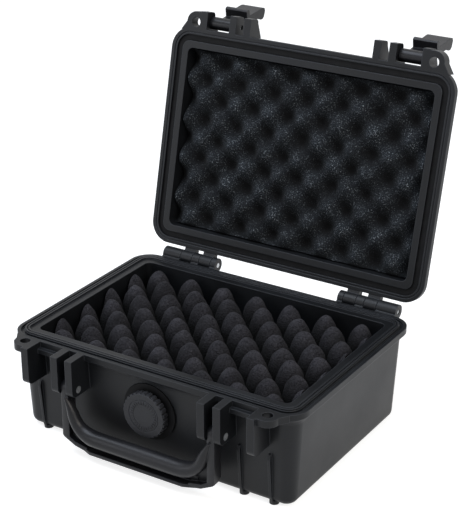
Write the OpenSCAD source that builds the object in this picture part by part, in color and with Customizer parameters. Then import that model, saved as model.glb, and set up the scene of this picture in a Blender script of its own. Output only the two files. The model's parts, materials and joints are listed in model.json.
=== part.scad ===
// Small watertight case for a microphone: a moulded base and lid with egg-crate foam,
// two lever latches, a folding handle, a pressure-relief knob and two rear hinges.
// Millimetres. X runs across the width, the front faces -Y and +Z is up.
// The origin is the middle of the underside, so the small feet reach below it.

/* [Case] */
// Width across the rim flange
rim_w = 207; // [190:1:240]
// Depth across the rim flange, front to back
rim_d = 147; // [130:1:175]
// Height of the base, from its underside to the seam
base_h = 65; // [58:0.5:85]
// Depth of the lid, from the seam to its top
lid_h = 20; // [17:0.5:30]
// Outer radius of the rim's corners
rim_r = 14; // [13:0.5:18]
// How far the rim flange stands out past the walls
rim_overhang = 4; // [3:0.5:6]
// Thickness of the rim flange
rim_t = 4; // [3:0.5:5]
// Lean of each wall from the rim to the bottom
wall_draft = 2.5; // [0.5:0.5:4]
// Thickness of the cored walls under the rim
wall_t = 9; // [6:0.5:10]
// Thickness of the floor and of the lid's top
floor_t = 4; // [3:0.5:6]
// Radius of the edge between walls and bottom
edge_r = 5; // [3:0.5:7]
// Height of the small feet
foot_h = 1.5; // [1:0.5:3]

/* [Seal] */
// Width of the gasket
gasket_w = 4; // [3:0.5:5]
// Thickness of the gasket
gasket_t = 2.4; // [2:0.1:3]
// Distance of the gasket from the rim's outer edge
gasket_inset = 4.4; // [4:0.2:5]
// Gap at the closed seam
seam_gap = 0.4; // [0.3:0.1:0.8]

/* [Hinges] */
// Distance of the hinge axis behind the rim flange
hinge_back = 6.8; // [6.5:0.1:9]
// Distance of each hinge's centre from the middle
hinge_x = 68; // [60:1:74]
// Outer radius of the hinge knuckles
knuckle_r = 4.8; // [4:0.1:5]
// Radius of the hinge pins
hinge_pin_r = 1.6; // [1.2:0.1:2]
// Angle that the lid stands open
lid_open = 103; // [90:1:110]

/* [Front ribs] */
// Thickness of the ribs
rib_t = 5; // [3.5:0.5:6]
// How far the ribs stand out past the rim flange
rib_out = 13; // [11:0.5:16]
// Height of the base's ribs
rib_h = 25; // [22:0.5:32]
// Depth of the lid's ribs at the wall, from the seam
lid_rib_h = 15; // [13:0.5:17]

/* [Latches] */
// Width of a latch lever
latch_w = 16.8; // [14:0.2:20]
// Length of a latch lever below its pin
latch_l = 38; // [34:0.5:42]
// Height of the latch pin above the seam
latch_pin_z = 8; // [7:0.5:9]
// Radius of the latch pins
latch_pin_r = 1.5; // [1:0.1:2]
// Angle that a lever swings from closed to open
latch_swing = 160; // [120:1:165]

/* [Handle] */
// Distance of each handle arm from the middle
arm_x = 52.7; // [46:0.1:54]
// Width of a handle arm
arm_w = 5.2; // [4:0.1:6.5]
// Radius of the handle's pins
handle_pin_r = 2.3; // [1.6:0.1:2.6]
// Distance of the pins below the seam
handle_pin_drop = 20.8; // [18:0.1:21]
// Length from the pins to the grip's lower edge
handle_l = 39.5; // [36:0.5:44]
// Radius of the round grip
grip_r = 5.2; // [4.5:0.1:5.6]

/* [Pressure knob] */
// Radius of the knurled knob
knob_r = 14.8; // [12:0.1:16]
// Thickness of the knob's knurled head
knob_t = 4.6; // [4:0.1:6]
// Number of teeth round the knob
knob_teeth = 28; // [20:1:36]
// Radius of the valve body's flange
valve_flange_r = 18.4; // [17.5:0.1:20]

/* [Padlock tabs] */
// Radius of the padlock holes
padlock_r = 3.3; // [2.5:0.1:4]
// Distance of each padlock hole from the middle
padlock_x = 86.6; // [85:0.1:90]

/* [Foam] */
// Spacing of the foam's pegs along a row
foam_pitch_x = 25.6; // [23:0.2:32]
// Spacing front to back between rows that stand in line
foam_pitch_y = 26.4; // [23:0.2:32]
// Radius of a peg of the base foam at its foot
peg_r = 8.8; // [6:0.1:9]
// Height of the base foam's pegs, from hollow to tip
peg_h = 26; // [16:1:30]
// Radius of a bump of the lid foam at its foot
bump_r = 8.4; // [6:0.1:9]
// Height of the lid foam's bumps
bump_h = 6.5; // [4:0.5:9]
// Depth of the base foam's tips below the seam
foam_drop = 2.5; // [2:0.1:8]

/* [Fits] */
// Radial clearance of a pin in a moving bore
pin_fit = 0.06; // [0.02:0.01:0.1]
// Side clearance of moving parts
side_gap = 0.35; // [0.3:0.05:0.6]
// Clearance of the foam and the gasket in their seats
soft_gap = 0.3; // [0.2:0.05:0.5]

/* [Hidden] */

$fn = 48;
EPS = 0.01;

shell_grey = "#2b2b2d";
foam_grey = "#222224";
steel = "#c9cbcc";
rubber = "#161617";

body_w = rim_w - 2 * rim_overhang;
body_d = rim_d - 2 * rim_overhang;
body_r = rim_r - rim_overhang;
cavity_w = body_w - 2 * wall_t;
cavity_d = body_d - 2 * wall_t;
cavity_r = 4;
cavity_edge_r = 1.4;
cavity_draft = 2;
lid_draft = 1;
lid_flare = 2;
floor_z = floor_t;
front_rim_y = -rim_d / 2;
front_wall_y = -body_d / 2;
fillet_h = 5;

hinge_y = rim_d / 2 + hinge_back;
hinge_z = base_h;
hinge_web_t = 4.5;
knuckle_gap = 0.4;
knuckle_edges = [-21, -17, -8, -2, 7, 21];

arm_gap = arm_w + 2 * side_gap;
rib_inner_x = arm_x - arm_gap / 2 - rib_t;
rib_mid_x = arm_x + arm_gap / 2;
latch_gap = latch_w + 2 * side_gap;
latch_x = rib_mid_x + rib_t + latch_gap / 2;
rib_outer_x = latch_x + latch_gap / 2;
rib_front_y = front_rim_y - rib_out;
rib_bottom_z = base_h - rib_h;
rib_root_y = front_wall_y + wall_t / 2;
rib_corner_r = 4;
foot_r = 3;

latch_pin_y = front_rim_y - 4.5;
hub_r = 4.2;
lever_t = 3.6;
hook_z = latch_pin_z + 7.5;
hook_t = 3.6;
hook_reach = 4.4;
catch_out = 2.8;
catch_z = base_h - hook_z + latch_pin_z + 0.5;

handle_pin_y = front_rim_y - 6.75;
handle_pin_z = base_h - handle_pin_drop;
arm_t = 8;
arm_hub_r = 4.4;
grip_y = handle_pin_y - 3.2;
grip_z = handle_pin_z - handle_l + grip_r + 5;
handle_bottom_z = handle_pin_z - handle_l;

knob_z = 37.5;
valve_bore_r = 7;
valve_flange_t = 1.6;
shank_r = 4;
nut_t = 3;
nut_r = 11;
nut_seat_t = 6;
seal_t = 1.6;
valve_wall = wall_t;
flange_y = front_wall_y + wall_draft * (base_h - knob_z) / base_h;

padlock_y = front_rim_y - 4;
tab_r = 7;
tab_t = 4.5;

foam_w = cavity_w - 2 * cavity_draft - 2 * soft_gap;
foam_d = cavity_d - 2 * cavity_draft - 2 * soft_gap;
pad_t = 6;
lid_foam_t = 3;
foam_corner_r = 3;
foam_base_z = floor_z + pad_t;
peg_tip_z = base_h - foam_drop;

// A rectangle with round corners, centred
module round_rect(w, d, r) {
    square([w - 2 * r, d], center = true);
    square([w, d - 2 * r], center = true);
    for (sx = [-1, 1], sy = [-1, 1])
        translate([sx * (w / 2 - r), sy * (d / 2 - r)]) circle(r);
}

// The same rectangle as a plate standing on z
module plate(w, d, r, z, t) {
    translate([0, 0, z]) linear_extrude(t) round_rect(w, d, r);
}

// A frame of width b, whose outer edge lies inset from the rim's edge
module rim_band(inset, b, z, t) {
    translate([0, 0, z]) linear_extrude(t) difference() {
        round_rect(rim_w - 2 * inset, rim_d - 2 * inset, rim_r - inset);
        round_rect(rim_w - 2 * (inset + b), rim_d - 2 * (inset + b), rim_r - inset - b);
    }
}

// A solid whose wall section is the child, drawn outwards from the corner's centre.
// The section runs round a rectangle with corners of radius r.
module swept_block(w, d, r) {
    half_w = w / 2 - r;
    half_d = d / 2 - r;
    for (sx = [-1, 1], sy = [-1, 1])
        translate([sx * half_w, sy * half_d, 0]) rotate_extrude() children();
    for (turn = [0, 180]) rotate(turn) {
        translate([half_w, half_d, 0]) rotate([90, 0, 0]) linear_extrude(2 * half_d) children();
        translate([-half_w, half_d, 0]) rotate([90, 0, 90])
            linear_extrude(2 * half_w) children();
    }
}

// Points of a quarter circle, from pointing down to pointing outwards
function edge_arc(cx, cy, r) = [for (a = [0:15:90]) [cx + r * sin(a), cy - r * cos(a)]];

// Wall section of a moulded tub standing on z0: edge radius, drafted wall, flare and rim
module tub_section(z0, z_rim, r, draft, edge, flare) {
    foot_r = r - draft;
    flare_z = z_rim - rim_t - flare;
    polygon(concat([[0, z0]], edge_arc(foot_r - edge, z0 + edge, edge),
                   [[r, flare_z], [r + 0.12 * rim_overhang, flare_z + 0.4 * flare],
                    [r + 0.38 * rim_overhang, flare_z + 0.75 * flare],
                    [r + 0.8 * rim_overhang, flare_z + flare],
                    [rim_r, z_rim - rim_t], [rim_r, z_rim], [0, z_rim]]));
}

// Section of a cavity that opens upwards past the rim
module cavity_section(z0, z_rim, draft, edge) {
    polygon(concat([[0, z0]], edge_arc(cavity_r - draft - edge, z0 + edge, edge),
                   [[cavity_r, z_rim], [cavity_r, z_rim + 3], [0, z_rim + 3]]));
}

// A tub: the outer solid and the block inside it, filled to the rim
module solid_tub(z0, z_rim, draft, edge, flare) {
    swept_block(body_w, body_d, body_r) tub_section(z0, z_rim, body_r, draft, edge, flare);
    plate(body_w - 2 * body_r + EPS, body_d - 2 * body_r + EPS, 0.5, z0, z_rim - z0);
}

// The space inside a tub, from its floor past the rim
module tub_cavity(z0, z_rim, draft) {
    swept_block(cavity_w, cavity_d, cavity_r)
        cavity_section(z0, z_rim, draft, cavity_edge_r);
    plate(cavity_w - 2 * cavity_r + EPS, cavity_d - 2 * cavity_r + EPS, 0.5, z0,
          z_rim + 3 - z0);
}

// Puts a profile drawn in (y, z) between two x positions
module along_x(x0, x1) {
    translate([x0, 0, 0]) rotate([90, 0, 90]) linear_extrude(x1 - x0) children();
}

// Repeats its children on the right and, mirrored, on the left
module both_sides() {
    children();
    mirror([1, 0, 0]) children();
}

// A round pin or bore along X
module x_rod(x0, x1, y, z, r) {
    translate([x0, y, z]) rotate([0, 90, 0]) cylinder(r = r, h = x1 - x0);
}

// Side view of a base rib: flat top, round lower front corner
module base_rib_profile() {
    polygon([[rib_root_y, base_h], [rib_front_y, base_h],
             [rib_front_y, rib_bottom_z + rib_corner_r],
             [rib_front_y + rib_corner_r, rib_bottom_z], [rib_root_y, rib_bottom_z]]);
    translate([rib_front_y + rib_corner_r, rib_bottom_z + rib_corner_r]) circle(rib_corner_r);
}

// Side view of a lid rib: it tapers to a round tip
module lid_rib_profile() {
    tip_h = 0.64 * lid_rib_h;
    tip_y = rib_front_y + 1.5;
    r = 2.5;
    z0 = base_h + seam_gap;
    polygon([[rib_root_y, z0], [tip_y, z0], [tip_y, z0 + tip_h - r],
             [tip_y + r, z0 + tip_h], [front_rim_y, z0 + lid_rib_h], [rib_root_y, z0 + lid_rib_h]]);
    translate([tip_y + r, z0 + tip_h - r]) circle(r);
}

// The three ribs of one side, in x
function rib_spans() = [[rib_inner_x, rib_inner_x + rib_t], [rib_mid_x, rib_mid_x + rib_t],
                        [rib_outer_x, rib_outer_x + rib_t]];

// Outline of a padlock tab on the right side
module tab_outline() {
    translate([padlock_x, padlock_y]) circle(tab_r);
    polygon([[rib_outer_x, front_rim_y + 2], [rib_outer_x, padlock_y - tab_r],
             [padlock_x, padlock_y - tab_r], [padlock_x + tab_r, padlock_y],
             [padlock_x + tab_r + 4, front_rim_y + 2]]);
}

// One padlock tab with its hole, from z upwards
module padlock_tab(z, t) {
    translate([0, 0, z]) linear_extrude(t) difference() {
        tab_outline();
        translate([padlock_x, padlock_y]) circle(padlock_r);
    }
}

// Side view of a base knuckle, with the web that joins it to the rim
module base_knuckle_profile() {
    translate([hinge_y, hinge_z]) circle(knuckle_r);
    polygon([[body_d / 2 - 1, base_h - rim_t - 6], [hinge_y, base_h - knuckle_r - 0.5],
             [hinge_y, hinge_z], [hinge_y - knuckle_r, hinge_z],
             [rim_d / 2 - 0.5, base_h - 1], [body_d / 2 - 1, base_h - 1]]);
}

// Side view of a lid knuckle
module lid_knuckle_profile() {
    z0 = base_h + seam_gap;
    translate([hinge_y, hinge_z]) circle(knuckle_r);
    polygon([[rim_d / 2 - 1, z0 + 0.6], [hinge_y - knuckle_r, hinge_z],
             [hinge_y, hinge_z], [hinge_y + 1, hinge_z + knuckle_r - 0.2],
             [rim_d / 2 - 1, z0 + hinge_web_t]]);
}

// Knuckle number i of a hinge, shortened by half a gap at each end that has a neighbour
function knuckle_x0(i) = hinge_x + knuckle_edges[i] + (i > 0 ? knuckle_gap / 2 : 0);
function knuckle_x1(i) = hinge_x + knuckle_edges[i + 1] - (i < 4 ? knuckle_gap / 2 : 0);

// The ledge that a latch hook catches, in the right-hand latch recess
module latch_catch() {
    along_x(rib_mid_x + rib_t - EPS, rib_outer_x + EPS)
        polygon([[front_wall_y + 1, base_h - rim_t + EPS],
                 [front_rim_y - catch_out, base_h - rim_t + EPS],
                 [front_rim_y - catch_out, catch_z], [front_wall_y + 1, catch_z]]);
}

// Thin upright ribs on the lower front wall, each ending in a foot
module front_bead(x) {
    bead_w = 1.8;
    top_z = rib_bottom_z - 6;
    bead_y = front_wall_y - 1.2;
    along_x(x - bead_w / 2, x + bead_w / 2) {
        polygon([[bead_y + 6, top_z + 3], [bead_y + 1, top_z], [bead_y, top_z - 3],
                 [bead_y + wall_draft, edge_r], [bead_y + wall_draft + 2, -foot_h],
                 [bead_y + wall_draft + 9, -foot_h], [bead_y + wall_draft + 9, top_z]]);
    }
    translate([x, bead_y + wall_draft + 5, -foot_h]) cylinder(r = foot_r, h = foot_h + 1);
}

// A foot under the back edge
module rear_foot(x) {
    translate([x, body_d / 2 - wall_draft - 9, -foot_h]) cylinder(r = foot_r, h = foot_h + 1);
}

module base_shell() {
    color(shell_grey) difference() {
        union() {
            solid_tub(0, base_h, wall_draft, edge_r, fillet_h);
            rim_band(gasket_inset + 0.5, 1.1, base_h - 1, 2.1);
            rim_band(gasket_inset + 2.4, 1.1, base_h - 1, 2.1);
            both_sides() {
                for (s = rib_spans()) along_x(s[0], s[1]) base_rib_profile();
                padlock_tab(base_h - tab_t, tab_t);
                latch_catch();
                for (i = [0, 2, 4]) along_x(knuckle_x0(i), knuckle_x1(i)) base_knuckle_profile();
                front_bead(rib_mid_x + rib_t + 2.4);
                front_bead(rib_outer_x + 5.4);
                rear_foot(hinge_x - 6);
                rear_foot(hinge_x + 15);
            }
        }
        tub_cavity(floor_z, base_h, cavity_draft);
        rim_band(2.2, gasket_inset - 2, base_h - 1.5, 4);
        both_sides() {
            x_rod(hinge_x - 22, hinge_x + 22, hinge_y, hinge_z, hinge_pin_r);
            x_rod(rib_inner_x - 1, rib_mid_x + rib_t + 1, handle_pin_y, handle_pin_z, handle_pin_r);
        }
        translate([0, flange_y + 20, knob_z]) rotate([90, 0, 0])
            cylinder(r = valve_bore_r, h = 40);
        translate([0, flange_y, knob_z]) rotate([90, 0, 0])
            cylinder(r = valve_flange_r + 0.1, h = 20);
        on_valve(-valve_wall - nut_seat_t) cylinder(r = nut_r + 0.5, h = nut_seat_t);
    }
}

// Turns what is drawn closed into the open lid's place
module lid_pose() {
    translate([0, hinge_y, hinge_z]) rotate([-lid_open, 0, 0])
        translate([0, -hinge_y, -hinge_z]) children();
}

// Turns a tub over, so that its bottom is at z
module upside_down(z) {
    translate([0, 0, z]) rotate([180, 0, 0]) children();
}

module lid_closed() {
    z0 = base_h + seam_gap;
    top_z = z0 + lid_h;
    difference() {
        union() {
            upside_down(top_z) solid_tub(0, lid_h, lid_draft, edge_r, lid_flare);
            both_sides() {
                for (s = rib_spans()) along_x(s[0], s[1]) lid_rib_profile();
                padlock_tab(z0, tab_t + 3);
                for (i = [1, 3]) along_x(knuckle_x0(i), knuckle_x1(i)) lid_knuckle_profile();
            }
        }
        upside_down(top_z) tub_cavity(floor_t, lid_h, lid_draft);
        rim_band(gasket_inset - soft_gap / 2, gasket_w + soft_gap, z0 - 1, gasket_t + 2.4);
        rim_band(2.4, 0.8, z0 - 1, 1.6);
        both_sides() {
            x_rod(hinge_x - 22, hinge_x + 22, hinge_y, hinge_z, hinge_pin_r + pin_fit);
            x_rod(rib_mid_x - 1, rib_outer_x + rib_t - 1, latch_pin_y, base_h + latch_pin_z,
                  latch_pin_r);
        }
    }
}

module lid_shell() {
    color(shell_grey) lid_pose() lid_closed();
}

module lid_gasket() {
    color(rubber) lid_pose()
        rim_band(gasket_inset, gasket_w, base_h + seam_gap + 1.4, gasket_t);
}

// One moulded peg or bump: a round tip, a swelling side and a foot sunk in its block
module foam_peg(r, h) {
    rotate_extrude() polygon([[0, -1], [r, -1], [r, 0], [0.84 * r, 0.12 * h],
                              [0.73 * r, 0.36 * h], [0.62 * r, 0.62 * h], [0.48 * r, 0.82 * h],
                              [0.27 * r, 0.95 * h], [0, h]]);
}

// Offset of a row: every second row stands half a pitch to the side
function row_shift(j) = j % 2 == 0 ? 0 : 0.5;

// Places of the pegs, in staggered rows about the middle
function peg_places() = let (rows = floor((foam_d / 2 - 3) / (foam_pitch_y / 2)),
                             across = ceil(foam_w / 2 / foam_pitch_x))
    [for (j = [-rows:rows], i = [-across:across])
        [(i + row_shift(j)) * foam_pitch_x, j * foam_pitch_y / 2]];

// Whether a peg of radius r at q lies wholly on the block
function is_whole(q, r) = abs(q[0]) + r < foam_w / 2 && abs(q[1]) + r < foam_d / 2;

// A foam block with staggered rows of pegs, the outer ones cut at the block's sides
module pegged_block(t, r, h) {
    plate(foam_w, foam_d, foam_corner_r, 0, t);
    for (q = peg_places()) if (is_whole(q, r)) translate([q[0], q[1], t]) foam_peg(r, h);
    intersection() {
        plate(foam_w, foam_d, foam_corner_r, 0, t + h + 1);
        for (q = peg_places())
            if (!is_whole(q, r) && abs(q[0]) < foam_w / 2 + r / 2)
                translate([q[0], q[1], t]) foam_peg(r, h);
    }
}

module base_foam() {
    color(foam_grey) difference() {
        translate([0, 0, foam_base_z])
            pegged_block(peg_tip_z - foam_base_z - peg_h, peg_r, peg_h);
        on_valve(-valve_wall - nut_t - 1) cylinder(r = nut_r + 1, h = nut_t + 6);
    }
}

module base_pad() {
    color(foam_grey)
        plate(foam_w - 2 * cavity_edge_r, foam_d - 2 * cavity_edge_r, 2, floor_z, pad_t);
}

module lid_foam() {
    top_z = base_h + seam_gap + lid_h - floor_t;
    color(foam_grey) lid_pose() translate([0, 0, top_z - soft_gap]) rotate([180, 0, 0])
        pegged_block(lid_foam_t, bump_r, bump_h);
}

module hinge_pin(side) {
    color(steel) mirror([side < 0 ? 1 : 0, 0, 0])
        x_rod(hinge_x - 21, hinge_x + 20.5, hinge_y, hinge_z, hinge_pin_r);
}
module hinge_pin_left() { hinge_pin(-1); }
module hinge_pin_right() { hinge_pin(1); }

// Side view of a lever in its closed place, about its pin: plate, hook and curled lip
module lever_profile() {
    tail_z = -latch_l;
    hook_top = -hook_z;
    hook_root = hub_r * 0.4 - lever_t;
    circle(hub_r);
    polygon([[-hub_r, 0], [-hub_r - 0.4, tail_z + 14], [-5, tail_z + 9.5],
             [-7, tail_z + 5.6], [-7.4, tail_z + 3.2], [-6.2, tail_z + 1.2],
             [-2.6, tail_z - 0.6], [-0.6, tail_z], [0.2, tail_z + 2.5], [0.4, tail_z + 9],
             [0.8, hook_top - hook_t - 0.4], [hook_reach - 0.4, hook_top - hook_t],
             [hook_reach + 0.8, hook_top - hook_t + 1], [hook_reach + 0.8, hook_top - 0.8],
             [hook_reach, hook_top], [hook_root + 1.2, hook_top], [hook_root + 1.2, -hub_r],
             [hub_r * 0.6, -hub_r * 0.6], [0, 0]]);
}

module latch(side) {
    color(shell_grey) mirror([side < 0 ? 1 : 0, 0, 0]) lid_pose()
        translate([latch_x, latch_pin_y, base_h + latch_pin_z]) rotate([-latch_swing, 0, 0])
            difference() {
                along_x(-latch_w / 2, latch_w / 2) lever_profile();
                x_rod(-latch_w, latch_w, 0, 0, latch_pin_r + pin_fit);
            }
}
module latch_left() { latch(-1); }
module latch_right() { latch(1); }

module latch_pin(side) {
    color(steel) mirror([side < 0 ? 1 : 0, 0, 0]) lid_pose()
        x_rod(rib_mid_x + 1, rib_outer_x + rib_t - 1, latch_pin_y, base_h + latch_pin_z,
              latch_pin_r);
}
module latch_pin_left() { latch_pin(-1); }
module latch_pin_right() { latch_pin(1); }

// Front view of half the handle: the arm, its foot and the lower edge
module handle_outline() {
    arm_out = arm_x + arm_w / 2;
    arm_in = arm_x - arm_w / 2;
    foot_z = handle_bottom_z + 8.5;
    polygon([[arm_out, handle_pin_z], [arm_in, handle_pin_z], [arm_in, grip_z + 14],
             [arm_in - 4, grip_z + 12], [arm_in - 5, grip_z + 2], [0, grip_z + 2],
             [0, handle_bottom_z], [arm_in - 8, handle_bottom_z],
             [arm_in - 3, handle_bottom_z + 4], [arm_out, foot_z]]);
}

module handle() {
    arm_out = arm_x + arm_w / 2;
    plate_front = handle_pin_y - 4.4;
    color(shell_grey) difference() {
        union() {
            both_sides() {
                translate([0, plate_front + arm_t, 0]) rotate([90, 0, 0])
                    linear_extrude(arm_t) handle_outline();
                x_rod(arm_x - arm_w / 2, arm_out, handle_pin_y, handle_pin_z, arm_hub_r);
            }
            x_rod(-arm_x + 4, arm_x - 4, grip_y, grip_z, grip_r);
            translate([-arm_x + 6, plate_front - 1.6, handle_bottom_z])
                cube([2 * arm_x - 12, arm_t + 1.6, 2]);
        }
        both_sides() {
            x_rod(arm_x - arm_w, arm_x + arm_w, handle_pin_y, handle_pin_z, handle_pin_r + pin_fit);
            translate([0, plate_front + 2.6, 0]) rotate([90, 0, 0]) linear_extrude(10)
                polygon([[arm_out - 2.2, handle_bottom_z + 11], [arm_out - 2.2, grip_z + 10],
                         [arm_x - 4.5, grip_z + 3.5], [arm_x - 4.5, handle_bottom_z + 7]]);
        }
        translate([-arm_x + 7, plate_front - 8, handle_bottom_z + 2])
            cube([2 * arm_x - 14, 10.6, grip_z - handle_bottom_z - 5.5]);
    }
}

module handle_pin(side) {
    color(steel) mirror([side < 0 ? 1 : 0, 0, 0])
        x_rod(rib_inner_x, rib_mid_x + rib_t, handle_pin_y, handle_pin_z, handle_pin_r);
}
module handle_pin_left() { handle_pin(-1); }
module handle_pin_right() { handle_pin(1); }

// Stands a turned piece on the front wall, with its own +Z pointing out of the wall
module on_valve(out) {
    translate([0, flange_y - out, knob_z]) rotate([90, 0, 0]) children();
}

module valve_body() {
    color(rubber) on_valve(0) difference() {
        union() {
            cylinder(r = valve_flange_r, h = valve_flange_t);
            translate([0, 0, -valve_wall - nut_t]) cylinder(r = valve_bore_r - 0.05,
                                                           h = valve_wall + nut_t);
        }
        translate([0, 0, -valve_wall - nut_t - 1])
            cylinder(r = shank_r + pin_fit, h = valve_wall + nut_t + 3 + valve_flange_t);
    }
}

module valve_nut() {
    color(shell_grey) on_valve(-valve_wall) translate([0, 0, -nut_t]) difference() {
        cylinder(r = nut_r, h = nut_t, $fn = 6);
        translate([0, 0, -1]) cylinder(r = valve_bore_r, h = nut_t + 2);
    }
}

module valve_seal() {
    color(rubber) on_valve(valve_flange_t + EPS) rotate_extrude()
        translate([9, seal_t / 2]) circle(seal_t / 2 - EPS);
}

module valve_knob() {
    root_r = knob_r - 0.7;
    color(shell_grey) on_valve(valve_flange_t + seal_t + 0.05) difference() {
        union() {
            cylinder(r = root_r, h = knob_t);
            for (i = [0:knob_teeth - 1]) rotate(i * 360 / knob_teeth)
                translate([root_r - 0.4, -0.9, 0]) cube([knob_r - root_r + 0.4, 1.8, knob_t - 0.5]);
            translate([0, 0, -valve_wall]) cylinder(r = shank_r, h = valve_wall + 1);
        }
        translate([0, 0, knob_t - 0.4]) rotate_extrude() translate([10.2, 0]) square([0.5, 1]);
    }
}

base_shell();
lid_shell();
lid_gasket();
base_foam();
base_pad();
lid_foam();
hinge_pin_left();
hinge_pin_right();
latch_left();
latch_right();
latch_pin_left();
latch_pin_right();
handle();
handle_pin_left();
handle_pin_right();
valve_body();
valve_nut();
valve_seal();
valve_knob();
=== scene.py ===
"""Looks of a small watertight hard case for a microphone, open on a white table.

Everything is in metres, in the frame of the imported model: X runs across the width, the
front faces -Y and +Z is up. The underside of the base is at z = 0 and its feet reach lower.
"""

import json
import math
import random

import bmesh
import bpy
from mathutils import Matrix, Vector, noise


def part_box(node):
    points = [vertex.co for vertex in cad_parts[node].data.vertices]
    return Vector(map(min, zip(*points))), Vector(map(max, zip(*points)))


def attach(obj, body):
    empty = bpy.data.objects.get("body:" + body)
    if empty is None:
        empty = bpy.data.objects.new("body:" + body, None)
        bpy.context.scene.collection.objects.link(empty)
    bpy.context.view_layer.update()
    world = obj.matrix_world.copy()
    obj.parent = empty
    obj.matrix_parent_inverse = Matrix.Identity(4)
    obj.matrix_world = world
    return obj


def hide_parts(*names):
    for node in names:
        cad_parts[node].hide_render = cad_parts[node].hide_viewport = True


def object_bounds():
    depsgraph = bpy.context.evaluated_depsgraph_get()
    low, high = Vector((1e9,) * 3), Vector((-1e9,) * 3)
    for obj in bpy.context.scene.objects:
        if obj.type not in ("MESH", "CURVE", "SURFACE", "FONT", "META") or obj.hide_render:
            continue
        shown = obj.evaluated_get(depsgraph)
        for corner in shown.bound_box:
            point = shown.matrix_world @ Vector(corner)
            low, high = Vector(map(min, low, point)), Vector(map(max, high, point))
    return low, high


MM = 0.001
# Name of the mesh attribute that says how high a point of the foam lies
LIFT = "lift"

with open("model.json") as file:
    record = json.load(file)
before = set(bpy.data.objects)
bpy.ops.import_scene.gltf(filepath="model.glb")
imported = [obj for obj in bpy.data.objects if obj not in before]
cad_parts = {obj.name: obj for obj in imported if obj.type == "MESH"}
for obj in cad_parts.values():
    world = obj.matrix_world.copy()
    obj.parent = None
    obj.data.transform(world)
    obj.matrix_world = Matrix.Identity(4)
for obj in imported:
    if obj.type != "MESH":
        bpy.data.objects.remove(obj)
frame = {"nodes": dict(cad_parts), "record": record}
cad_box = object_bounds()
random.seed(7)
noise.seed_set(7)


# Colours and materials

def hex_rgba(text):
    """Turns an sRGB hex colour into a linear one."""
    parts = [int(text[i:i + 2], 16) / 255 for i in (1, 3, 5)]
    return [p / 12.92 if p <= 0.04045 else ((p + 0.055) / 1.055) ** 2.4 for p in parts] + [1]


def add_node(tree, kind, settings=None, values=None, links=None, stops=()):
    """Adds a shader node with its settings, its socket values, its incoming links and, where
    it is a colour ramp, its stops as (position, hex colour)."""
    made = tree.nodes.new("ShaderNode" + kind)
    for name, value in (settings or {}).items():
        setattr(made, name, value)
    for key, value in (values or {}).items():
        made.inputs[key].default_value = value
    for key, socket in (links or {}).items():
        tree.links.new(socket, made.inputs[key])
    while stops and len(made.color_ramp.elements) < len(stops):
        made.color_ramp.elements.new(1)
    for i, (position, colour) in enumerate(stops):
        made.color_ramp.elements[i].position = position
        made.color_ramp.elements[i].color = hex_rgba(colour)
    return made


# Settings of a Mix node for colours. Its two colours are inputs 6 and 7, and output 2 is the
# result.
MULTIPLY = {"data_type": "RGBA", "blend_type": "MULTIPLY"}
ADD = {"data_type": "RGBA", "blend_type": "ADD"}


def start_material(name):
    """Returns a material with its tree, Object coordinates and a Principled shader."""
    material = bpy.data.materials.new(name)
    material.use_nodes = True
    tree = material.node_tree
    tree.nodes.clear()
    shader = add_node(tree, "BsdfPrincipled")
    add_node(tree, "OutputMaterial", links={"Surface": shader.outputs[0]})
    place = add_node(tree, "TexCoord").outputs["Object"]
    return material, tree, place, shader


def moulded_plastic(name, dark, light, edge_highlight, rough, grain_mm, relief_mm, edge_mm):
    """Injection-moulded plastic: a spark-eroded grain, soft edges that catch the light, a
    painted highlight along them and a faint cloudiness where the flow of the melt changed the
    gloss."""
    material, tree, place, shader = start_material(name)
    flow = add_node(tree, "TexNoise", values={"Scale": 28, "Detail": 3},
                    links={"Vector": place}).outputs["Fac"]
    grain = add_node(tree, "TexNoise", values={"Scale": 1 / (grain_mm * MM), "Detail": 2,
                                               "Roughness": 0.6},
                     links={"Vector": place}).outputs["Fac"]
    colour = add_node(tree, "ValToRGB", links={"Fac": flow}, stops=[(0.3, dark), (0.72, light)])
    speck = add_node(tree, "ValToRGB", links={"Fac": grain},
                     stops=[(0.35, "#c8c8c8"), (0.7, "#ffffff")])
    mixed = add_node(tree, "Mix", settings=MULTIPLY, values={"Factor": 0.8},
                     links={6: colour.outputs[0], 7: speck.outputs[0]})
    # Painted highlight: edges are lighter in colour where the rounded normal leaves the face's
    # own normal
    face = add_node(tree, "NewGeometry").outputs["Normal"]
    broad = add_node(tree, "Bevel", settings={"samples": 6}, values={"Radius": 2 * edge_mm * MM})
    bend = add_node(tree, "VectorMath", settings={"operation": "DOT_PRODUCT"},
                    links={0: broad.outputs[0], 1: face})
    painted_edge_highlight = add_node(tree, "ValToRGB", links={"Fac": bend.outputs["Value"]},
                   stops=[(0.72, edge_highlight), (0.97, "#000000")])
    with_edge_highlight = add_node(tree, "Mix", settings=ADD, values={"Factor": 1},
                      links={6: mixed.outputs[2], 7: painted_edge_highlight.outputs[0]})
    tree.links.new(with_edge_highlight.outputs[2], shader.inputs["Base Color"])
    spread = add_node(tree, "MapRange", values={"From Min": 0.3, "From Max": 0.7,
                                                "To Min": rough - 0.05, "To Max": rough + 0.06},
                      links={"Value": flow})
    tree.links.new(spread.outputs[0], shader.inputs["Roughness"])
    soft = add_node(tree, "Bevel", settings={"samples": 6}, values={"Radius": edge_mm * MM})
    bump = add_node(tree, "Bump", values={"Strength": 0.35, "Distance": relief_mm * MM},
                    links={"Height": grain, "Normal": soft.outputs[0]})
    tree.links.new(bump.outputs[0], shader.inputs["Normal"])
    shader.inputs["IOR"].default_value = 1.5
    shader.inputs["Specular IOR Level"].default_value = 0.22
    return material
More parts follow.
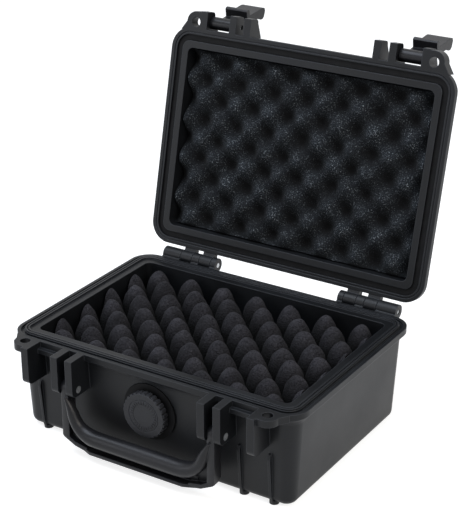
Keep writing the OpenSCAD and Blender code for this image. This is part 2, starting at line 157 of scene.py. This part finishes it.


# The fourth colour given to each plastic is its painted edge highlight.
# Polypropylene of the two shells: spark-eroded mould texture, so it looks dry and even,
# with the light spread wide. The real grain of 0.2 mm is drawn at 0.8 mm to show.
shell_plastic = moulded_plastic("polypropylene_spark_eroded", "#0f1012", "#17191c", "#2a2c30",
                                rough=0.42, grain_mm=0.8, relief_mm=0.1, edge_mm=0.6)
# Glass-filled nylon of levers and handle: smoother and glossier than the shells, as parts
# that hands rub.
nylon = moulded_plastic("nylon_glass_filled", "#18181a", "#202023", "#303135",
                        rough=0.34, grain_mm=1.2, relief_mm=0.05, edge_mm=0.5)
# The knob is of a lighter grey nylon with a satin face.
knob_nylon = moulded_plastic("nylon_knob_satin", "#242427", "#2d2e31", "#3a3b3f",
                             rough=0.4, grain_mm=1.2, relief_mm=0.05, edge_mm=0.3)


def silicone_rubber():
    """Extruded silicone of the seals: deep black, matt and slightly waxy, with no grain."""
    material, tree, place, shader = start_material("silicone_rubber_extruded")
    dust = add_node(tree, "TexNoise", values={"Scale": 180, "Detail": 4},
                    links={"Vector": place})
    colour = add_node(tree, "ValToRGB", links={"Fac": dust.outputs["Fac"]},
                      stops=[(0.4, "#0a0a0b"), (0.8, "#151516")]).outputs[0]
    tree.links.new(colour, shader.inputs["Base Color"])
    shader.inputs["Roughness"].default_value = 0.62
    shader.inputs["IOR"].default_value = 1.41
    shader.inputs["Specular IOR Level"].default_value = 0.18
    return material


def cell_foam(name, pit, skin, glint, hollow, cell_mm, glint_from, hollow_to):
    """Open-cell polyurethane foam, cut by the hot wire: pits drink the light and the cut ends of
    the cell walls glint as fine specks. Hollows between the bumps get a painted shade. Cells of
    0.5 mm are drawn coarser to show."""
    material, tree, place, shader = start_material(name)
    cells = add_node(tree, "TexVoronoi", settings={"feature": "F1"},
                     values={"Scale": 1 / (cell_mm * MM)}, links={"Vector": place})
    grit = add_node(tree, "TexNoise", values={"Scale": 1 / (cell_mm * 1.3 * MM), "Detail": 3,
                                              "Roughness": 0.75},
                    links={"Vector": place}).outputs["Fac"]
    patch = add_node(tree, "TexNoise", values={"Scale": 60, "Detail": 2},
                     links={"Vector": place})
    body = add_node(tree, "ValToRGB", links={"Fac": grit},
                    stops=[(0.36, pit), (0.56, skin), (glint_from, skin),
                           (glint_from + 0.07, glint)])
    shade = add_node(tree, "ValToRGB", links={"Fac": patch.outputs["Fac"]},
                     stops=[(0.3, "#a8a8a8"), (0.7, "#ffffff")])
    mixed = add_node(tree, "Mix", settings=MULTIPLY, values={"Factor": 1},
                     links={6: body.outputs[0], 7: shade.outputs[0]})
    # Painted shade: hollows are darker than tips. The mesh holds the lift, 0 in a hollow and 1
    # at a tip
    lift = add_node(tree, "Attribute", settings={"attribute_name": LIFT})
    painted_hollow_shade = add_node(tree, "ValToRGB", links={"Fac": lift.outputs["Fac"]},
                    stops=[(hollow_to, hollow), (0.95, "#ffffff")])
    deep = add_node(tree, "Mix", settings=MULTIPLY, values={"Factor": 1},
                    links={6: mixed.outputs[2], 7: painted_hollow_shade.outputs[0]})
    tree.links.new(deep.outputs[2], shader.inputs["Base Color"])
    relief = add_node(tree, "Bump", values={"Strength": 0.8, "Distance": 0.5 * MM},
                      links={"Height": cells.outputs["Distance"]})
    finer = add_node(tree, "Bump", values={"Strength": 0.7, "Distance": 0.4 * MM},
                     links={"Height": grit, "Normal": relief.outputs[0]})
    tree.links.new(finer.outputs[0], shader.inputs["Normal"])
    shader.inputs["Roughness"].default_value = 0.95
    shader.inputs["Specular IOR Level"].default_value = 0.2
    return material


def plated_steel():
    """Zinc-plated steel pins, turned and then tumbled: bright, with a faint soft blur."""
    material, tree, place, shader = start_material("steel_zinc_plated")
    blur = add_node(tree, "TexNoise", values={"Scale": 700, "Detail": 3},
                    links={"Vector": place})
    colour = add_node(tree, "ValToRGB", links={"Fac": blur.outputs["Fac"]},
                      stops=[(0.3, "#a8abad"), (0.7, "#d2d4d5")]).outputs[0]
    tree.links.new(colour, shader.inputs["Base Color"])
    shader.inputs["Metallic"].default_value = 1
    shader.inputs["Roughness"].default_value = 0.46
    return material


seal_rubber = silicone_rubber()
# The fifth colour given to each foam is the painted shade in its hollows.
base_foam_finish = cell_foam("polyurethane_foam_base", "#1c1b1f", "#37363a", "#626166",
                             "#0e0e0e", cell_mm=1, glint_from=0.66, hollow_to=0.42)
lid_foam_finish = cell_foam("polyurethane_foam_lid", "#0c0e11", "#2a2f34", "#b4babe",
                            "#4a4a4a", cell_mm=0.6, glint_from=0.6, hollow_to=0.1)
steel = plated_steel()

NODE_FINISH = {
    "base_shell": shell_plastic, "lid_shell": shell_plastic, "lid_gasket": seal_rubber,
    "valve_body": seal_rubber, "valve_seal": seal_rubber, "valve_nut": nylon,
    "valve_knob": knob_nylon, "handle": nylon, "latch_left": nylon, "latch_right": nylon,
    "hinge_pin_left": steel, "hinge_pin_right": steel, "latch_pin_left": steel,
    "latch_pin_right": steel, "handle_pin_left": steel, "handle_pin_right": steel,
}
for node_name, finish in NODE_FINISH.items():
    mesh = frame["nodes"][node_name].data
    mesh.materials.clear()
    mesh.materials.append(finish)


# Pieces

def finish_piece(bm, name, body, material, smooth_deg):
    """Makes an object of a bmesh and puts it on its body, with its finish. Edges that turn
    by more than smooth_deg stay sharp."""
    mesh = bpy.data.meshes.new(name)
    bm.to_mesh(mesh)
    bm.free()
    piece = bpy.data.objects.new(name, mesh)
    bpy.context.scene.collection.objects.link(piece)
    mesh.materials.append(material)
    mesh.shade_smooth()
    mesh.set_sharp_from_angle(angle=math.radians(smooth_deg))
    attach(piece, body)
    return piece


def node_span(node_name):
    """Lowest and highest corner of a CAD node, as vectors."""
    low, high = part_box(node_name)
    return Vector(low), Vector(high)


def bevel_edges(bm, edges, width, segments=2, profile=0.5):
    """Rounds these edges."""
    bmesh.ops.bevel(bm, geom=edges, offset=width, segments=segments, profile=profile,
                    affect="EDGES", material=-1)


# The lid as it stands at rest, open, from its closed place
LID_HINGE = next(j for j in frame["record"]["behaviour"]["joints"] if j["name"] == "lid_hinge")
HINGE = Vector(LID_HINGE["pos_m"])
LID_OPEN = math.radians(LID_HINGE["range_deg"][1])
LID_POSE = (Matrix.Translation(HINGE) @ Matrix.Rotation(-LID_OPEN, 4, "X")
            @ Matrix.Translation(-HINGE))

# Width and depth of the foam in the base, and the lattice of its pegs: a row stands half a
# DEPTH_PITCH behind the next, and is moved by half a ROW_PITCH
FOAM_W, FOAM_D = 176.4 * MM, 116.4 * MM
ROW_PITCH, DEPTH_PITCH = 25.6 * MM, 26.4 * MM
FOAM_EDGE = 0.8 * MM
FOAM_SMOOTH_DEG = 60

# A peg of the base foam. Its outline runs from the flared foot to the tip, as shares of its
# radius and height. Each one leans, swells and sinks a little, and its skin wobbles.
PEG_R, PEG_H = 8.8 * MM, 24 * MM
PEG_OUTLINE = [(1.34, -0.02), (1.2, 0.06), (1.12, 0.18), (1.07, 0.32), (1, 0.46), (0.91, 0.58),
               (0.8, 0.7), (0.67, 0.8), (0.52, 0.885), (0.36, 0.95), (0.2, 0.986), (0, 1)]
PEG_STEPS = 26
PEG_LEAN = 0.03
PEG_SWELL = (0.96, 1.03)
PEG_SINK = 0.04
PEG_WOBBLE, WOBBLES_PER_M = 0.7 * MM, 160
# How far the dressed pegs rise past the plain ones
PEG_RISE = 2 * MM

# The lid's foam: its size, its thickness at a pit, the height of a wave and the mesh's step.
# The waves wander off their lattice, and the skin is slightly uneven.
LID_FOAM_W, LID_FOAM_D = 178.2 * MM, 118.2 * MM
PIT_T, WAVE_H, WAVE_STEP = 5 * MM, 9 * MM, 1.1 * MM
WANDER, WANDERS_PER_M = 1.6 * MM, 40
UNEVEN, UNEVEN_PER_M = 0.5 * MM, 300
# How high the lid's foam reaches when the case is closed: the base, the seam's gap and the
# lid, less the lid's top and a small gap
FOAM_CEILING = (65 + 0.4 + 20 - 4 - 0.3) * MM


def peg_mesh():
    """The peg's outline spun about Z into a closed form that stands on its foot."""
    bm = bmesh.new()
    verts = [bm.verts.new((r * PEG_R, 0, h * PEG_H)) for r, h in PEG_OUTLINE]
    edges = [bm.edges.new(pair) for pair in zip(verts, verts[1:])]
    bmesh.ops.spin(bm, geom=verts + edges, cent=(0, 0, 0), axis=(0, 0, 1),
                   angle=math.tau, steps=PEG_STEPS, use_merge=True)
    bmesh.ops.remove_doubles(bm, verts=bm.verts, dist=1e-6)
    bmesh.ops.holes_fill(bm, edges=bm.edges)
    bmesh.ops.recalc_face_normals(bm, faces=bm.faces)
    mesh = bpy.data.meshes.new("peg")
    bm.to_mesh(mesh)
    bm.free()
    return mesh


def peg_places():
    """Places of the pegs about the middle of the block, row by row. The outer ones are cut by
    the block's sides."""
    front_gap, side_reach = 3 * MM, 4 * MM
    rows = int((FOAM_D / 2 - front_gap) / (DEPTH_PITCH / 2))
    across = math.ceil(FOAM_W / 2 / ROW_PITCH)
    for j in range(-rows, rows + 1):
        for i in range(-across, across + 1):
            x = (i + (j % 2) / 2) * ROW_PITCH
            if abs(x) < FOAM_W / 2 + side_reach:
                yield x, j * DEPTH_PITCH / 2


def pegged_block(block_t):
    """Convoluted foam: pegs on a flat block whose top is at z = block_t."""
    peg = peg_mesh()
    bm = bmesh.new()
    lift_layer = bm.verts.layers.float.new(LIFT)
    for x, y in peg_places():
        first = len(bm.verts)
        bm.from_mesh(peg)
        bm.verts.ensure_lookup_table()
        lean = Vector((random.uniform(-1, 1), random.uniform(-1, 1), 0)) * PEG_LEAN
        swell = random.uniform(*PEG_SWELL)
        sink = random.uniform(0, PEG_SINK)
        for v in bm.verts[first:]:
            lift = max(v.co.z / PEG_H, 0)
            v[lift_layer] = lift
            v.co.xy *= swell
            v.co += lean * v.co.z
            v.co.z *= 1 - sink
            own_patch = Vector((x, y, 0)) * 300
            wobble = noise.noise_vector(v.co * WOBBLES_PER_M + own_patch)
            v.co += wobble * PEG_WOBBLE * lift
            v.co += Vector((x, y, block_t))
    for side in ((1, 0), (-1, 0), (0, 1), (0, -1)):
        normal = Vector((side[0], side[1], 0))
        edge = Vector((side[0] * FOAM_W / 2, side[1] * FOAM_D / 2, 0))
        cut = bmesh.ops.bisect_plane(bm, geom=bm.verts[:] + bm.edges[:] + bm.faces[:],
                                     plane_co=edge, plane_no=normal, clear_outer=True)
        rims = [e for e in cut["geom_cut"] if isinstance(e, bmesh.types.BMEdge)]
        bmesh.ops.holes_fill(bm, edges=rims)
    block = bmesh.ops.create_cube(bm, size=1)["verts"]
    bmesh.ops.scale(bm, verts=block, vec=(FOAM_W, FOAM_D, block_t))
    bmesh.ops.translate(bm, verts=block, vec=(0, 0, block_t / 2))
    bevel_edges(bm, list({e for v in block for e in v.link_edges}), FOAM_EDGE)
    return bm


def base_foam():
    """The pegged foam in the base, fuller and a little higher than its plain solid."""
    low, high = node_span("base_foam")
    bm = pegged_block(high.z - low.z - PEG_H + PEG_RISE)
    bmesh.ops.translate(bm, verts=bm.verts, vec=(0, 0, low.z))
    piece = finish_piece(bm, "foam_base_pegs", "base", base_foam_finish,
                         FOAM_SMOOTH_DEG)
    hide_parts("base_foam")


def lid_foam():
    """Convoluted foam of the lid: one waved sheet whose swellings and pits alternate."""
    bm = bmesh.new()
    lift_layer = bm.verts.layers.float.new(LIFT)
    bmesh.ops.create_grid(bm, x_segments=round(LID_FOAM_W / WAVE_STEP),
                          y_segments=round(LID_FOAM_D / WAVE_STEP), size=0.5)
    for v in bm.verts:
        v.co = Vector((v.co.x * LID_FOAM_W, v.co.y * LID_FOAM_D, 0))
        wander = noise.noise_vector(v.co * WANDERS_PER_M) * WANDER
        x, y = v.co.x + wander.x, v.co.y + wander.y
        wave = math.cos(math.tau * x / ROW_PITCH) * math.cos(math.tau * y / DEPTH_PITCH)
        lift = (0.5 + 0.5 * wave) ** 0.9
        v[lift_layer] = lift
        v.co.z = PIT_T + WAVE_H * lift + noise.noise(v.co * UNEVEN_PER_M) * UNEVEN
    rim = [e for e in bm.edges if e.is_boundary]
    skirt = bmesh.ops.extrude_edge_only(bm, edges=rim)["geom"]
    for v in skirt:
        if isinstance(v, bmesh.types.BMVert):
            v.co.z = 0
    bmesh.ops.holes_fill(bm, edges=[e for e in skirt if isinstance(e, bmesh.types.BMEdge)
                                    and e.is_boundary])
    bmesh.ops.recalc_face_normals(bm, faces=bm.faces)
    turn_over = Matrix.Translation((0, 0, FOAM_CEILING)) @ Matrix.Rotation(math.pi, 4, "X")
    bmesh.ops.transform(bm, matrix=LID_POSE @ turn_over, verts=bm.verts)
    piece = finish_piece(bm, "foam_lid_bumps", "lid", lid_foam_finish,
                         FOAM_SMOOTH_DEG)
    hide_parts("lid_foam")


# Handle, in mm: its pivot, the faces of its arms, the front and foot of its plates, and the
# middle, radius and number of sides of its grip
PIVOT_Y, PIVOT_Z, HUB_R = -80.25, 44.2, 4.4
ARM_IN, ARM_OUT = 50.1, 55.3
PLATE_FRONT, HANDLE_FOOT = -84.65, 4.7
PLATE_BACK = PLATE_FRONT + 8
GRIP_Y, GRIP_Z, GRIP_R, GRIP_SIDES = -83.45, 14.9, 5.2, 24
# Centre line of the grip in X and Z: a straight bar that turns up into the arm
GRIP_LINE = [(0, GRIP_Z), (18, GRIP_Z), (29, GRIP_Z), (33.6, 15.3), (37.6, 16.5), (41.2, 18.5),
             (44, 21.2), (46, 24.6), (47.4, 28.4), (48.6, 31.6), (49.8, 34.4), (51, 37),
             (52, 39)]


def prism(bm, outline, axis, start, end, edge):
    """Stands an outline (in mm) between start and end along an axis, with rounded edges."""
    order = {"x": (2, 0, 1), "y": (0, 2, 1), "z": (0, 1, 2)}[axis]
    foot = bm.faces.new([bm.verts.new(Vector([(*point, start)[k] for k in order]) * MM)
                         for point in outline])
    grown = bmesh.ops.extrude_face_region(bm, geom=[foot], use_keep_orig=True)["geom"]
    top = [v for v in grown if isinstance(v, bmesh.types.BMVert)]
    rise = Vector([(0, 0, end - start)[k] for k in order]) * MM
    bmesh.ops.translate(bm, verts=top, vec=rise)
    faces = list({f for v in [*foot.verts, *top] for f in v.link_faces})
    bmesh.ops.recalc_face_normals(bm, faces=faces)
    bent = 0.5  # radians
    edges = list({e for f in faces for e in f.edges if e.calc_face_angle(0) > bent})
    bevel_edges(bm, edges, edge * MM, profile=0.6)


def arc(centre, radius, start_deg, end_deg, count):
    """Points of an arc, from one angle to another."""
    angles = [math.radians(start_deg + (end_deg - start_deg) * i / count)
              for i in range(count + 1)]
    return [(centre[0] + radius * math.cos(a), centre[1] + radius * math.sin(a)) for a in angles]


def mirrored(points, side):
    """The points themselves for side 1, or their mirror images in X for side -1."""
    return [(side * x, v) for x, v in points]


def share(value, start, length):
    """0 up to start, 1 from start + length on, and even in between."""
    return min(max((value - start) / length, 0), 1)


def grip_tube(bm):
    """A round bar along the grip's line, which slims as it turns up and into the arms."""
    line = mirrored(GRIP_LINE[:0:-1], -1) + GRIP_LINE
    depth_way = Vector((0, 1, 0))
    rings = []
    for i, (x, z) in enumerate(line):
        before, after = line[max(i - 1, 0)], line[min(i + 1, len(line) - 1)]
        along = Vector((after[0] - before[0], 0, after[1] - before[1])).normalized()
        slim = (1 - 0.3 * share(abs(x), 35, 11)) * (1 - 0.72 * share(z, 27, 12))
        across = depth_way.cross(along) * slim
        deep = depth_way * (0.3 + 0.7 * slim)
        section = Matrix((across, deep, along)).transposed().to_4x4()
        section.translation = Vector((x, GRIP_Y, z)) * MM
        ring = bmesh.ops.create_circle(bm, segments=GRIP_SIDES, radius=GRIP_R * MM,
                                       matrix=section)["verts"]
        rings.append(list({e for v in ring for e in v.link_edges}))
    for near, far in zip(rings, rings[1:]):
        bmesh.ops.bridge_loops(bm, edges=near + far)
    bmesh.ops.holes_fill(bm, edges=rings[0] + rings[-1])
    bmesh.ops.recalc_face_normals(bm, faces=bm.faces)


def handle_moulding():
    """The carrying handle: a round grip that turns up into two flat arms, a thin lip under
    it, a hollow between lip and grip and a small pocket at each elbow."""
    bm = bmesh.new()
    grip_tube(bm)
    # Section of an arm in Y and Z, round about the pivot
    arm = arc((PIVOT_Y, PIVOT_Z), HUB_R, 200, -20, 14)
    arm += [(PLATE_BACK, PIVOT_Z - 8), (PLATE_BACK, HANDLE_FOOT + 9),
            (PLATE_BACK - 3, HANDLE_FOOT + 7.2), (PLATE_FRONT, HANDLE_FOOT + 6.6)]
    # Outlines in X and Z of the thin web behind a pocket and of the pocket's lower rim
    web = [(ARM_IN + 1, 30), (ARM_IN - 3, 24), (ARM_IN - 13, 14), (ARM_IN - 12, 6),
           (ARM_IN + 1, 10)]
    pocket_rim = [(ARM_OUT, HANDLE_FOOT + 7.4), (ARM_OUT - 1, HANDLE_FOOT + 6),
                  (ARM_IN - 4, HANDLE_FOOT + 1.8), (ARM_IN - 13, HANDLE_FOOT),
                  (ARM_IN - 13, HANDLE_FOOT + 3), (ARM_IN - 4, HANDLE_FOOT + 4.6),
                  (ARM_IN + 1, HANDLE_FOOT + 7.6)]
    for side in (1, -1):
        prism(bm, arm, "x", side * ARM_IN, side * ARM_OUT, 0.6)
        prism(bm, mirrored(web, side), "y", PLATE_FRONT + 4.2, PLATE_FRONT + 6.6, 0.3)
        prism(bm, mirrored(pocket_rim, side), "y", PLATE_FRONT, PLATE_FRONT + 7, 0.3)
    # The lip seen from above: its middle stands forward, with slanted ends
    lip_front = -86.6
    lip_half = [(34, lip_front), (41, PLATE_FRONT + 1), (41, PLATE_FRONT + 7)]
    lip = mirrored(lip_half[::-1], -1) + lip_half
    prism(bm, lip, "z", HANDLE_FOOT, HANDLE_FOOT + 2.2, 0.35)
    # Section in Y and Z of the wall between lip and grip, which is set back
    wall = [(-80.6, HANDLE_FOOT + 1), (-81.6, GRIP_Z - 3), (-79.4, GRIP_Z - 2),
            (-78.6, HANDLE_FOOT + 1)]
    prism(bm, wall, "x", -42, 42, 0.3)
    piece = finish_piece(bm, "handle_moulding", "handle", nylon, 35)
    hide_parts("handle")


def knob_grip_marks():
    """An even ring of small raised ridges round the knob's face."""
    count, ring_r = 30, 8.3 * MM
    ridge = Vector((1, 0.8, 2.2)) * MM
    bm = bmesh.new()
    low, high = node_span("valve_knob")
    middle = (low + high) / 2
    for i in range(count):
        mark = bmesh.ops.create_cube(bm, size=1)["verts"]
        bmesh.ops.scale(bm, verts=mark, vec=ridge)
        bmesh.ops.translate(bm, verts=mark, vec=(0, 0, ring_r))
        bmesh.ops.rotate(bm, verts=mark, matrix=Matrix.Rotation(math.tau * i / count, 3, "Y"))
        bmesh.ops.translate(bm, verts=mark, vec=(middle.x, low.y, middle.z))
    bevel_edges(bm, bm.edges[:], 0.15 * MM, segments=1)
    finish_piece(bm, "knob_grip_marks", "valve_knob", knob_nylon, 35)


def foam_pad():
    """The flat pad under the pegs, with slightly rounded edges."""
    low, high = node_span("base_pad")
    bm = bmesh.new()
    bmesh.ops.create_cube(bm, size=1)
    bmesh.ops.scale(bm, verts=bm.verts, vec=high - low)
    bmesh.ops.translate(bm, verts=bm.verts, vec=(low + high) / 2)
    bevel_edges(bm, bm.edges[:], FOAM_EDGE)
    piece = finish_piece(bm, "foam_base_pad", "base", base_foam_finish, 40)
    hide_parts("base_pad")


base_foam()
lid_foam()
foam_pad()
handle_moulding()
knob_grip_marks()


# Table, light and camera

def seen_ray(tree):
    """1 for a ray that the camera, a gloss or clear glass sends out, 0 for the others."""
    rays = add_node(tree, "LightPath").outputs
    straight = add_node(tree, "Math", settings={"operation": "MAXIMUM"},
                        links={0: rays["Is Camera Ray"], 1: rays["Is Glossy Ray"]})
    return add_node(tree, "Math", settings={"operation": "MAXIMUM"},
                    links={0: straight.outputs[0], 1: rays["Is Transmission Ray"]}).outputs[0]


def white_table():
    """A white table. It keeps the case's shadow, and what the camera and the gloss of the
    plastic see of it is lifted to plain white."""
    reach, gap = 6, 0.1 * MM
    material, tree, _, shader = start_material("table_white_laminate")
    shader.inputs["Base Color"].default_value = hex_rgba("#b4b4b4")
    shader.inputs["Roughness"].default_value = 0.9
    glow_strength = add_node(tree, "Math", settings={"operation": "MULTIPLY"},
                             values={1: 0.8}, links={0: seen_ray(tree)})
    glow = add_node(tree, "Emission", links={"Strength": glow_strength.outputs[0]})
    both = add_node(tree, "AddShader", links={0: shader.outputs[0], 1: glow.outputs[0]})
    output = next(n for n in tree.nodes if n.type == "OUTPUT_MATERIAL")
    tree.links.new(both.outputs[0], output.inputs["Surface"])
    bm = bmesh.new()
    bmesh.ops.create_grid(bm, x_segments=1, y_segments=1, size=reach)
    bmesh.ops.translate(bm, verts=bm.verts, vec=(0, 0, cad_box[0][2] - gap))
    mesh = bpy.data.meshes.new("table")
    bm.to_mesh(mesh)
    bm.free()
    mesh.materials.append(material)
    table = bpy.data.objects.new("table", mesh)
    bpy.context.scene.collection.objects.link(table)


def studio_world():
    """Even grey light all round; the camera and the gloss see plain white."""
    world = bpy.data.worlds.new("studio")
    bpy.context.scene.world = world
    world.use_nodes = True
    tree = world.node_tree
    tree.nodes.clear()
    soft = add_node(tree, "Background", values={"Color": hex_rgba("#eef2f8"), "Strength": 0.22})
    seen = add_node(tree, "Background", values={"Color": hex_rgba("#ffffff"), "Strength": 1})
    mixed = add_node(tree, "MixShader", links={0: seen_ray(tree), 1: soft.outputs[0],
                                               2: seen.outputs[0]})
    add_node(tree, "OutputWorld", links={"Surface": mixed.outputs[0]})


def soft_box(name, place, target, size, watts, colour):
    """A square studio lamp at place, turned to its target."""
    lamp = bpy.data.lights.new(name, "AREA")
    lamp.size = size
    lamp.energy = watts
    lamp.color = hex_rgba(colour)[:3]
    holder = bpy.data.objects.new(name, lamp)
    holder.location = place
    holder.rotation_euler = (Vector(target) - Vector(place)).to_track_quat("-Z", "Y").to_euler()
    bpy.context.scene.collection.objects.link(holder)


def photo_camera():
    """The photograph's own viewpoint: turn, height and roll in degrees, the rest in metres."""
    azimuth, elevation, roll = (math.radians(a) for a in (32.867, 26.729, -0.287))
    distance = 0.97053
    focal_px, frame_px, off_x, off_y = 1550.5, 472, -23.65, 81.78
    target = Vector((0, 0, 58.5 * MM))
    back = Vector((math.sin(azimuth) * math.cos(elevation),
                   -math.cos(azimuth) * math.cos(elevation), math.sin(elevation)))
    right = Vector((math.cos(azimuth), math.sin(azimuth), 0))
    up = back.cross(right)
    turned_right = right * math.cos(roll) + up * math.sin(roll)
    turned_up = up * math.cos(roll) - right * math.sin(roll)
    camera = bpy.data.cameras.new("camera")
    camera.sensor_width = 36
    camera.sensor_fit = "HORIZONTAL"
    camera.lens = focal_px * camera.sensor_width / frame_px
    camera.shift_x = -off_x / frame_px
    camera.shift_y = off_y / frame_px
    camera.clip_start = 0.01
    holder = bpy.data.objects.new("camera", camera)
    matrix = Matrix((turned_right, turned_up, back)).transposed().to_4x4()
    matrix.translation = target + back * distance
    holder.matrix_world = matrix
    bpy.context.scene.collection.objects.link(holder)
    bpy.context.scene.camera = holder


white_table()
studio_world()
soft_box("key_right", (1.3, -0.4, 1.1), (0, 0, 0.08), size=0.9, watts=14, colour="#fff8ee")
soft_box("top", (-0.3, -0.3, 1.6), (0, 0, 0.1), size=1.2, watts=26, colour="#e6f0ff")
soft_box("front_left", (-1.2, -1.3, 0.6), (0, 0, 0.08), size=0.8, watts=6, colour="#f2f6ff")
photo_camera()

bpy.context.scene.view_settings.view_transform = "Standard"
